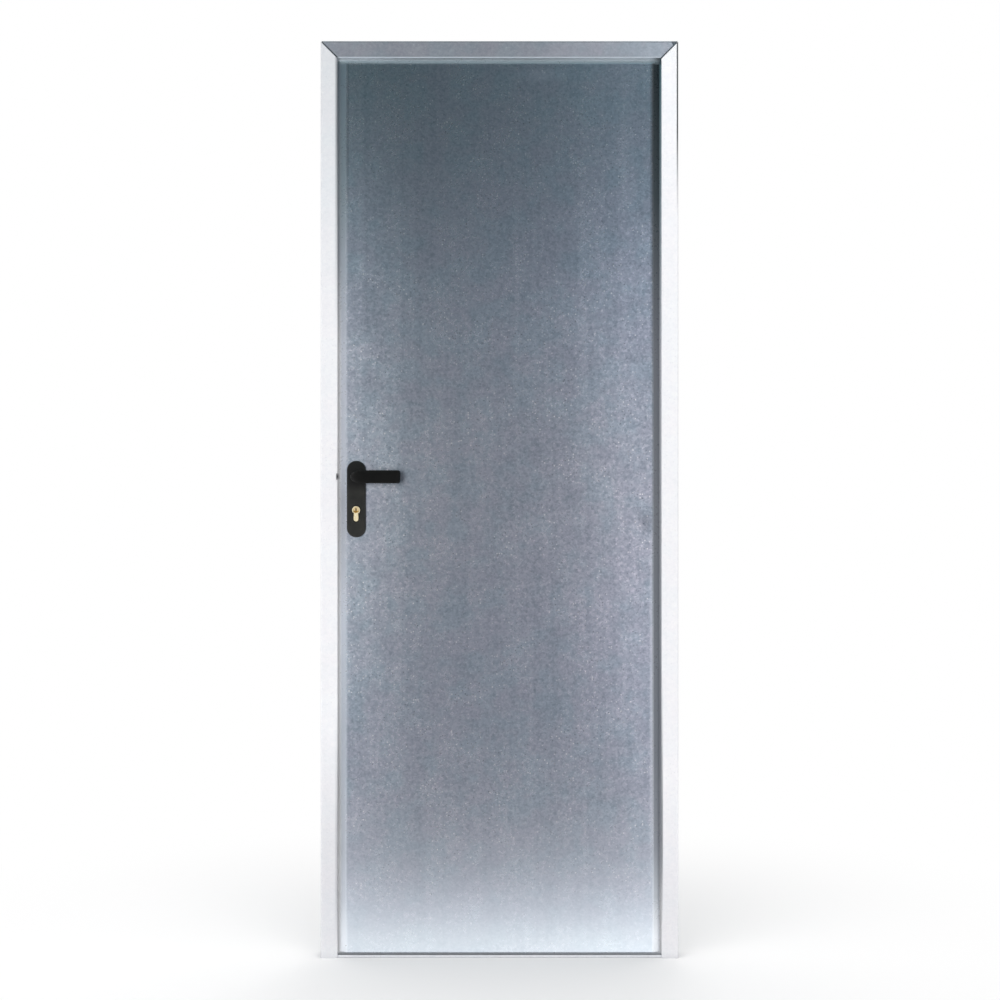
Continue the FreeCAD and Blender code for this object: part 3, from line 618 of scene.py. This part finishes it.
def plateGrids(side):
    p = plate
    ends, split = p["endSteps"], p["split"]
    low, high = p["foot"] + p["half"], p["top"] - p["half"]
    bow = np.linspace(0, math.pi, 2 * ends + 1)
    upper = np.linspace(high, split, p["upperRows"])[1:-1]
    lower = np.linspace(split, low, p["lowerRows"])[1:-1]
    straight = upper.size + 1 + lower.size
    spine = np.concatenate([
        np.full(ends + 1, high), upper, [split], lower, np.full(2 * ends + 1, low), lower[::-1], [split],
        upper[::-1], np.full(ends, high)])
    face = np.concatenate([
        bow[ends:] - math.pi / 2, np.full(straight, math.pi / 2), bow + math.pi / 2,
        np.full(straight, 1.5 * math.pi), 1.5 * math.pi + bow[:ends]])

    def outline(inset):
        r = p["half"] - inset
        return np.stack([r * np.sin(face), spine + r * np.cos(face)], axis=-1)

    arc = np.linspace(0, math.pi / 2, p["rimRows"])
    inset = np.concatenate([[0], p["rim"] * (1 - np.cos(arc))])
    rise = np.concatenate([[0], p["thick"] - p["rimDrop"] * (1 - np.sin(arc))])
    grids = [np.stack([withDepth(outline(i), d) for i, d in zip(inset, rise)])]
    # where the line across meets the outline, and its own points between
    rightAt = ends + upper.size + 1
    leftAt = rightAt + 2 * lower.size + 2 * ends + 2
    middle = p["splitSteps"]
    level = np.linspace(-1, 1, 2 * middle + 3)[1:-1]
    for depth, edge in ((p["thick"], p["rim"]), (0.0, 0.0)):
        ring = outline(edge)
        across = np.stack([level * ring[rightAt, 0], np.full(level.size, split)], axis=-1)
        top = np.concatenate([ring[:rightAt + 1], across[::-1], ring[leftAt:]])
        bottom = np.concatenate([across[middle:], ring[rightAt:leftAt + 1], across[:middle]])
        chamfer = p["bevel"] if depth else 0.0
        for loop, hole in ((top, "neck"), (bottom, "cylinder")):
            shares = loopShares(loop)
            rings = []
            for grow in (chamfer, 0.0):
                if hole == "neck":
                    fine = roundLoop(p["neckHole"] + grow, 0.0, p["holeSteps"])
                else:
                    fine = cylinderLoop(
                        p["headHole"], p["tailHole"], p["tailFoot"], p["cylinderUp"], grow, p["holeSteps"])
                rings.append(alongLoop(fine, shares))
            share = np.linspace(0, 1, p["faceRows"])[:, None, None]
            grids.append(withDepth(loop[None] * (1 - share) + rings[0][None] * share, depth))
            if depth:
                wall = [(rings[0], depth), (rings[1], depth - chamfer), (rings[1], 0.0)]
                grids.append(np.stack([withDepth(r, d) for r, d in wall]))
    return [lockPlace(g[..., 0], p["base"] + g[..., 2], g[..., 1], side) for g in grids]


for side, cadName in ((-1, "front_plate"), (1, "rear_plate")):
    nylon = finishes["black_nylon"]
    piece = surface(cadName + "_moulded", plateGrids(side), nylon, "leaf", crease=32)
    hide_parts(cadName)
print("plates moulded")

# cylinder: loops stacked from the bottom of one bore, over its face and along the profile to the other
cylinder = {
    "head": 8.5, "tail": 5.0, "tailFoot": -91.5, "up": -72.0, "out": 30.0, "bore": 6.3, "boreDepth": 9.0,
    "bevel": 0.45, "columns": 120, "boreSteps": 240,
}


def cylinderGrid():
    c = cylinder
    full, small = (
        cylinderLoop(c["head"], c["tail"], c["tailFoot"], c["up"], grow, c["columns"])
        for grow in (0.0, -c["bevel"]))
    bore = alongLoop(roundLoop(c["bore"], c["up"], c["boreSteps"]), loopShares(full))
    point = np.tile([[0.0, c["up"]]], (c["columns"], 1))
    end = c["out"] - c["boreDepth"]
    rows = [(point, end), (bore, end), (bore, c["out"]), ((bore + small) / 2, c["out"]), (small, c["out"]),
            (full, c["out"] - c["bevel"])]
    rows = rows + [(loop, -out) for loop, out in rows[::-1]]
    return np.stack([withDepth(loop, out) for loop, out in rows])


grid = cylinderGrid()
place = lockPlace(grid[..., 0], grid[..., 2], grid[..., 1], -1)
piece = surface("cylinder_bar", [place], finishes["brass"], "leaf", crease=30)
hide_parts("cylinder_body")

# plug: a round face dished towards the key's slot, whose sides weave; the slot is walled and closed
plug = {
    "radius": 6.2, "dish": 0.7, "slotHalf": 0.95, "slotTall": 4.1, "slotCorner": 5.0, "weave": 0.45,
    "slotDepth": 5.0, "slotSpine": 0.8, "length": 8.9, "bevel": 0.3, "columns": 120, "dishRows": 9,
}


def plugGrid():
    p = plug
    edge = roundLoop(p["radius"], 0.0, p["columns"])
    turn = fullTurn(p["columns"])
    power = 2 / p["slotCorner"]
    slotX = p["slotHalf"] * np.sign(np.sin(turn)) * np.abs(np.sin(turn)) ** power
    slotZ = p["slotTall"] * np.sign(np.cos(turn)) * np.abs(np.cos(turn)) ** power
    weave = p["weave"] * np.sin(slotZ / p["slotTall"] * math.pi)
    slot = np.stack([slotX + weave, slotZ], axis=-1)
    spine = np.stack([weave, slotZ * p["slotSpine"]], axis=-1)
    rows = [withDepth(0 * edge, -p["length"]), withDepth(edge, -p["length"]), withDepth(edge, -p["bevel"])]
    for share in np.linspace(0, 1, p["dishRows"]):
        inner = (edge * (1 - p["bevel"] / p["radius"])) * (1 - share) + slot * share
        away = np.linalg.norm(inner, axis=1) / p["radius"]
        rows.append(withDepth(inner, -(p["dish"] * (1 - away ** 2))[:, None]))
    rows.append(withDepth(slot, -p["slotDepth"]))
    rows.append(withDepth(spine, -p["slotDepth"]))
    return np.stack(rows)


grid = plugGrid()
for side, cadName in ((-1, "cylinder_plug_front"), (1, "cylinder_plug_rear")):
    place = lockPlace(grid[..., 0], cylinder["out"] + grid[..., 2], cylinder["up"] + grid[..., 1], side)
    piece = surface(cadName + "_dished", [place], plugBrass, "leaf", crease=30)
    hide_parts(cadName)
print("cylinder and plugs turned")

# screw: a low turned head, its cross recess pressed in where the grid's points lie near either arm
screw = {
    "rows": 26, "columns": 96, "crown": 0.22, "recess": 0.8, "recessEdge": (0.75, 1.1),
    "arm": 0.17, "armLong": 0.62, "armSoft": 0.1, "armStop": 9,
}


def screwGrid(centre, outward, radius, height, tilt):
    share = np.linspace(0, 1, screw["rows"])[:, None]
    turn = fullTurn(screw["columns"])[None, :]
    a, b = share * np.cos(turn), share * np.sin(turn)
    top = height * (1 - screw["crown"] * share ** 2) + 0 * turn
    end = screw["armLong"]
    near = np.minimum(*[
        np.abs(wide) / screw["arm"] + ease(np.abs(far), end - screw["armSoft"], end) * screw["armStop"]
        for wide, far in ((a, b), (b, a))])
    top = top - screw["recess"] * height * (1 - ease(near, *screw["recessEdge"]))
    foot = np.zeros((1, screw["columns"]))
    a = np.concatenate([a, a[-1:], foot])
    b = np.concatenate([b, b[-1:], foot])
    top = np.concatenate([top, foot, foot])
    u = np.cross(outward, upward)
    v = np.cross(u, outward)
    u, v = u * math.cos(tilt) + v * math.sin(tilt), v * math.cos(tilt) - u * math.sin(tilt)
    flat = (a[..., None] * u + b[..., None] * v) * radius + top[..., None] * np.asarray(outward)
    return np.asarray(centre) + flat * mm


# heads are radius and height; each screw is turned to its own angle, which follows from its height
fixings = {
    "plateHead": (3.9, 1.1), "plateUp": (22.0, -113.0), "plateTilt": 0.3,
    "forendHead": (3.6, 0.5), "forendIn": 12.0, "forendTilt": 9, "sink": 0.1,
}
plateFace = plate["base"] + plate["thick"] - fixings["sink"]
grids = [
    screwGrid(lockPlace(0.0, plateFace, rise, 1), toBack, *fixings["plateHead"], fixings["plateTilt"] + rise)
    for rise in fixings["plateUp"]]
surface("rear_plate_screws", grids, finishes["zinc_hardware"], "leaf", crease=35)
forendLow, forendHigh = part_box("lock_forend")
forendIn = fixings["forendIn"] * mm
heights = (forendLow.z + forendIn, spindleZ + cylinder["up"] * mm, forendHigh.z - forendIn)
forendFace = forendLow.x + fixings["sink"] * mm
grids = [
    screwGrid((forendFace, lockY, z), toLeft, *fixings["forendHead"], z * fixings["forendTilt"])
    for z in heights]
surface("forend_screws", grids, finishes["zinc_hardware"], "leaf", crease=35)
print("screws set")

# hinge caps: a shallow turned dome on each outer end of a barrel, a quarter ellipse turned round
capShape = {"radius": 6.7, "height": 1.6, "rows": 10, "columns": 64}


def capGrid(centre, up):
    share = np.linspace(0, 1, capShape["rows"])[:, None]
    turn = fullTurn(capShape["columns"])[None, :]
    r = capShape["radius"] * np.sin(share * math.pi / 2)
    h = capShape["height"] * np.cos(share * math.pi / 2) + 0 * turn
    r = np.concatenate([r, [[0.0]]])
    h = np.concatenate([h, np.zeros((1, capShape["columns"]))])
    return np.asarray(centre) + np.stack([r * np.cos(turn), r * np.sin(turn), up * h], axis=-1) * mm


hinge = next(j for j in frame["joints"] if j["name"] == "leaf_swing")["pos_m"]
for level in ("lower", "upper"):
    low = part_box("hinge_" + level + "_frame")[0].z
    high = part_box("hinge_" + level + "_leaf")[1].z
    for end, z, up, body in (("_foot_cap", low, -1, "frame"), ("_top_cap", high, 1, "leaf")):
        dome = capGrid((hinge[0], hinge[1], z), up)
        surface("hinge_" + level + end, [dome], finishes["zinc_hardware"], body)

# weld bead: a round run along a straight seam, half sunk, swelling once per drop and closed by round ends
weld = {"radius": 1.4, "drop": 2.4, "swell": 0.22, "columns": 14, "rowsPerMm": 2.5, "leastRows": 24}


def beadGrid(start, end, away):
    start, end, away = np.asarray(start, float), np.asarray(end, float), np.asarray(away, float)
    length = np.linalg.norm(end - start)
    run = (end - start) / length
    away = away / np.linalg.norm(away)
    across = np.cross(run, away)
    s = np.linspace(0, length / mm, max(weld["leastRows"], int(length / mm * weld["rowsPerMm"])))
    r = weld["radius"] * (1 - weld["swell"] * (1 - np.abs(np.sin(s / weld["drop"] * math.pi))))
    toEnd = np.minimum(s, s[-1] - s) / weld["radius"]
    r = r * np.sqrt(np.clip(1 - (1 - np.clip(toEnd, 0, 1)) ** 2, 0, 1))
    turn = fullTurn(weld["columns"])
    ring = np.cos(turn)[:, None] * away + np.sin(turn)[:, None] * across
    return start + (s[:, None, None] * run + r[:, None, None] * ring[None]) * mm


def weldSeams(name, body, runs):
    surface(name, [beadGrid(*run) for run in runs], weldZinc, body, crease=60)


# where the beads run, in mm: in from a hinge's ends, up its frame half, across its wing, by keep and cleats
bead = {
    "hingeIn": 4.0, "frameTo": 50.0, "wing": (3.0, 17.0), "keepLong": 24.0, "keepUp": (8.0, 83.0),
    "keepDown": 32.0, "cleatIn": 6.0,
}
hingeIn, cleatIn = bead["hingeIn"] * mm, bead["cleatIn"] * mm
for level in ("lower", "upper"):
    low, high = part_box("hinge_" + level + "_frame")
    weldSeams("hinge_" + level + "_frame_weld", "frame", [
        ((high.x, high.y, low.z + hingeIn), (high.x, high.y, low.z + bead["frameTo"] * mm), (-1, 1, 0))])
    low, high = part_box("hinge_" + level + "_leaf")
    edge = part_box("front_skin")[1].x
    begin, end = (low.y + reach * mm for reach in bead["wing"])
    weldSeams("hinge_" + level + "_leaf_weld", "leaf", [
        ((edge, low.y, low.z + hingeIn), (edge, low.y, high.z - hingeIn), (1, -1, 0)),
        ((edge, begin, high.z), (edge, end, high.z), (1, 0, 1)),
        ((edge, begin, low.z), (edge, end, low.z), (1, 0, -1))])
low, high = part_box("strike_keep")
starts = (*[low.z + rise * mm for rise in bead["keepUp"]], high.z - bead["keepDown"] * mm)
weldSeams("strike_keep_weld", "frame", [
    ((low.x, y, z), (low.x, y, z + bead["keepLong"] * mm), (1, away, 0))
    for y, away in ((low.y, -1), (high.y, 1)) for z in starts])
for cadName, lean in (("corner_cleat_left", 1), ("corner_cleat_right", -1)):
    low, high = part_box(cadName)
    wall = low.x if lean > 0 else high.x
    weldSeams(cadName + "_weld", "frame", [
        ((wall, high.y, low.z + cleatIn), (wall, high.y, high.z - cleatIn), (lean, 1, 0)),
        ((low.x + cleatIn, high.y, high.z), (high.x - cleatIn, high.y, high.z), (0, 1, -1))])
print("welds and hinge caps laid")

# studio: white floor and surround, with grey flags before and behind the door that only gloss sees
studio = {
    "floorSize": 60.0, "floor": "#f7f7f7", "shadowNear": 0.55, "shadowFar": 1.6, "soft": 0.84,
    "cameraBack": 3.6, "cameraHeight": 0.999, "cameraX": 0.001, "frameWidth": 2.18, "sensor": 36.0,
}
white = (1, 1, 1, 1)


# an open sheet from one grid of points
def stageSheet(name, grid, material, hiddenFrom=()):
    rows, columns = grid.shape[:2]
    quads = gridFaces(np.arange(rows * columns).reshape(rows, columns))
    mesh = bpy.data.meshes.new(name)
    mesh.from_pydata(grid.reshape(-1, 3).tolist(), [], quads.tolist())
    mesh.materials.append(material)
    made = bpy.data.objects.new(name, mesh)
    scene.collection.objects.link(made)
    for ray in hiddenFrom:
        setattr(made, "visible_" + ray, False)


def flatGrid(x, y, z):
    return np.stack(np.broadcast_arrays(np.array(x)[None, :], np.array(y)[:, None], float(z)), axis=-1)


# 1 for rays that show a thing itself: straight from the camera, mirrored or through glass
def seenRays(tree):
    path = node(tree, "ShaderNodeLightPath")
    seen = path.outputs["Is Camera Ray"]
    for ray in ("Is Glossy Ray", "Is Transmission Ray"):
        seen = node(tree, "ShaderNodeMath", {0: seen, 1: path.outputs[ray]}, operation="MAXIMUM")
    return seen


# matt white floor: near the door it takes the shadow, further off it is plain white to the eye and to gloss
made, tree, place = newMaterial("mattWhiteFloor")
away = node(tree, "ShaderNodeVectorMath", {0: place}, operation="LENGTH").outputs["Value"]
far = node(tree, "ShaderNodeMapRange", {
    "Value": away, "From Min": studio["shadowNear"], "From Max": studio["shadowFar"]},
    interpolation_type="SMOOTHSTEP")
share = node(tree, "ShaderNodeMath", {0: far, 1: seenRays(tree)}, operation="MULTIPLY")
matt = node(tree, "ShaderNodeBsdfDiffuse", {"Color": linear(studio["floor"])})
plain = node(tree, "ShaderNodeEmission", {"Color": white, "Strength": 1.0})
shader = node(tree, "ShaderNodeMixShader", {0: share, 1: matt, 2: plain})
node(tree, "ShaderNodeOutputMaterial", {"Surface": shader})
half = studio["floorSize"] / 2
stageSheet("floor", flatGrid((-half, half), (-half, half), 0), made)

# grey flags: a curved wall before and behind the door with a pale left drop, a grey middle and a dark right
# one, all dim above the door and paler again at the top, and a floor cloth, bright by the sill, grey far off
flag = {
    "radius": 7.0, "tall": 11.0, "front": (-64.0, 64.0), "rear": (116.0, 244.0), "columns": 40, "rows": 3,
    "left": [
        (0.0, "#f7f7f7"), (0.17, "#f7f3f6"), (0.22, "#b7cddd"), (0.26, "#556e72"), (0.30, "#304444"),
        (0.34, "#283c3c"), (0.40, "#314a4a"), (0.60, "#4a6969"), (0.80, "#739798"), (1.0, "#b0dfe0")],
    "middle": [
        (0.0, "#aba6b0"), (0.10, "#9d9998"), (0.16, "#99979c"), (0.21, "#8891a0"), (0.26, "#535c62"),
        (0.30, "#363d3f"), (0.35, "#383e3f"), (0.42, "#556065"), (0.60, "#84a4b0"), (0.80, "#bae8f5"),
        (1.0, "#dcfdff")],
    "right": [
        (0.0, "#898989"), (0.17, "#808285"), (0.225, "#5e6266"), (0.26, "#4b5054"), (0.29, "#3c4246"),
        (0.33, "#2e3436"), (0.39, "#272c2e"), (0.6, "#282d2f"), (0.8, "#4f5456"), (1.0, "#8c8e90")],
    "sheen": [
        (0.42, "#2e2e2e"), (0.47, "#4e4e4e"), (0.51, "#7c7c7c"), (0.55, "#a4a4a4"), (0.58, "#b6b6b6"),
        (0.62, "#e8e8e8"), (0.66, "#d9d9d9"), (0.72, "#9f9f9f")],
    "plain": "#848484", "strength": 4.4, "leftEdge": (-0.04, -0.26), "rightEdge": (0.40, 0.62),
}
cloth = {
    "near": 0.03, "reach": 7.0, "side": 7.0, "lift": 0.002, "sillHalf": 0.6, "strength": 3.7, "tintHalf": 4.0,
    "fade": [
        (0.0, "#ffffff"), (0.02, "#fffffc"), (0.055, "#e2e0e3"), (0.11, "#a4a3a6"), (0.22, "#8f8e91"),
        (0.42, "#75767d"), (1.0, "#566067")],
    "tint": [
        (0.30, "#ffffff"), (0.40, "#c6c6c6"), (0.46, "#a7a7a7"), (0.51, "#ababab"), (0.56, "#b9b9b9"),
        (0.62, "#eeeeee"), (0.70, "#ffffff")],
}
unseen = ("camera", "diffuse", "transmission", "volume_scatter", "shadow")
for name, (first, last) in (("frontFlag", flag["front"]), ("rearFlag", flag["rear"])):
    made, tree, place = newMaterial(name + "Grey")
    spot = node(tree, "ShaderNodeSeparateXYZ", {"Vector": place})
    height = node(tree, "ShaderNodeMath", {0: spot.outputs["Z"], 1: flag["tall"]}, operation="DIVIDE")
    aside = node(tree, "ShaderNodeMath", {0: spot.outputs["X"], 1: flag["radius"]}, operation="DIVIDE")
    across = node(tree, "ShaderNodeMapRange", {"Value": aside, "From Min": -1.0, "From Max": 1.0})
    sheen = node(tree, "ShaderNodeValToRGB", {"Fac": across}, stops=flag["sheen"])
    drop = node(tree, "ShaderNodeValToRGB", {"Fac": height}, stops=flag["middle"])
    tint = node(tree, "ShaderNodeMix", {0: 1.0, 6: drop, 7: sheen}, **multiply).outputs[2]
    for part in ("left", "right"):
        drop = node(tree, "ShaderNodeValToRGB", {"Fac": height}, stops=flag[part])
        drop = node(tree, "ShaderNodeMix", {0: 1.0, 6: drop, 7: linear(flag["plain"])}, **multiply).outputs[2]
        begin, end = flag[part + "Edge"]
        cover = node(tree, "ShaderNodeMapRange", {"Value": aside, "From Min": begin, "From Max": end},
                     interpolation_type="SMOOTHSTEP")
        tint = node(tree, "ShaderNodeMix", {0: cover, 6: tint, 7: drop}, **layOver).outputs[2]
    shader = node(tree, "ShaderNodeEmission", {"Color": tint, "Strength": flag["strength"]})
    node(tree, "ShaderNodeOutputMaterial", {"Surface": shader})
    turn = np.radians(np.linspace(first, last, flag["columns"]))[None, :]
    rise = np.linspace(0, flag["tall"], flag["rows"])[:, None]
    wall = np.broadcast_arrays(flag["radius"] * np.sin(turn), -flag["radius"] * np.cos(turn), rise)
    stageSheet(name, np.stack(wall, axis=-1), made, unseen)
for name, way in (("frontCloth", -1), ("rearCloth", 1)):
    made, tree, place = newMaterial(name + "Grey")
    spot = node(tree, "ShaderNodeSeparateXYZ", {"Vector": place})
    out = node(tree, "ShaderNodeMath", {0: spot.outputs["Y"], 1: way}, operation="MULTIPLY")
    # past the jambs the way to the sill is counted sideways
    beside = node(tree, "ShaderNodeMath", {0: spot.outputs["X"]}, operation="ABSOLUTE")
    beside = node(tree, "ShaderNodeMath", {0: beside, 1: cloth["sillHalf"]}, operation="SUBTRACT")
    out = node(tree, "ShaderNodeMath", {0: out, 1: beside}, operation="MAXIMUM")
    out = node(tree, "ShaderNodeMath", {0: out, 1: cloth["reach"]}, operation="DIVIDE")
    aside = node(tree, "ShaderNodeMapRange", {
        "Value": spot.outputs["X"], "From Min": -cloth["tintHalf"], "From Max": cloth["tintHalf"]})
    fade = node(tree, "ShaderNodeValToRGB", {"Fac": out}, stops=cloth["fade"])
    across = node(tree, "ShaderNodeValToRGB", {"Fac": aside}, stops=cloth["tint"])
    tint = node(tree, "ShaderNodeMix", {0: 1.0, 6: fade, 7: across}, **multiply).outputs[2]
    shader = node(tree, "ShaderNodeEmission", {"Color": tint, "Strength": cloth["strength"]})
    node(tree, "ShaderNodeOutputMaterial", {"Surface": shader})
    side = cloth["side"]
    reach = (way * cloth["near"], way * cloth["reach"])
    stageSheet(name, flatGrid((-side, side), reach, cloth["lift"]), made, unseen)

# white surround: plain white where it is seen, softer where it lights the door
world = bpy.data.worlds.new("whiteStudio")
scene.world = world
world.use_nodes = True
tree = world.node_tree
tree.nodes.clear()
soft = node(tree, "ShaderNodeBackground", {"Color": white, "Strength": studio["soft"]})
plain = node(tree, "ShaderNodeBackground", {"Color": white, "Strength": 1.0})
shader = node(tree, "ShaderNodeMixShader", {0: seenRays(tree), 1: soft, 2: plain})
node(tree, "ShaderNodeOutputWorld", {"Surface": shader})

lamps = {
    "key": {"place": (-2.8, -2.6, 2.6), "aim": (0, 0, 0.9), "size": (1.6, 2.0), "power": 20},
    "top": {"place": (0.0, -1.8, 4.2), "aim": (0, -0.2, 0.6), "size": (2.4, 1.2), "power": 31},
    "back": {"place": (0.5, 3.2, 2.6), "aim": (0, 0, 1.0), "size": (2.0, 2.0), "power": 24},
}
for name, lamp in lamps.items():
    data = bpy.data.lights.new(name, "AREA")
    data.shape = "RECTANGLE"
    data.size, data.size_y = lamp["size"]
    data.energy = lamp["power"]
    made = bpy.data.objects.new(name, data)
    made.location = lamp["place"]
    x, y, z = np.subtract(lamp["aim"], lamp["place"])
    made.rotation_euler = (math.atan2(math.hypot(x, y), -z), 0, math.atan2(-x, y))
    made.visible_glossy = False
    scene.collection.objects.link(made)

# camera: straight on, so far from the frame's front face that the picture is frameWidth wide there
camera = bpy.data.objects.new("camera", bpy.data.cameras.new("camera"))
scene.collection.objects.link(camera)
camera.location = (studio["cameraX"], frontFace - studio["cameraBack"], studio["cameraHeight"])
camera.rotation_euler = (math.pi / 2, 0, 0)
camera.data.sensor_width = studio["sensor"]
camera.data.lens = studio["sensor"] * studio["cameraBack"] / studio["frameWidth"]
scene.camera = camera
print("studio set")
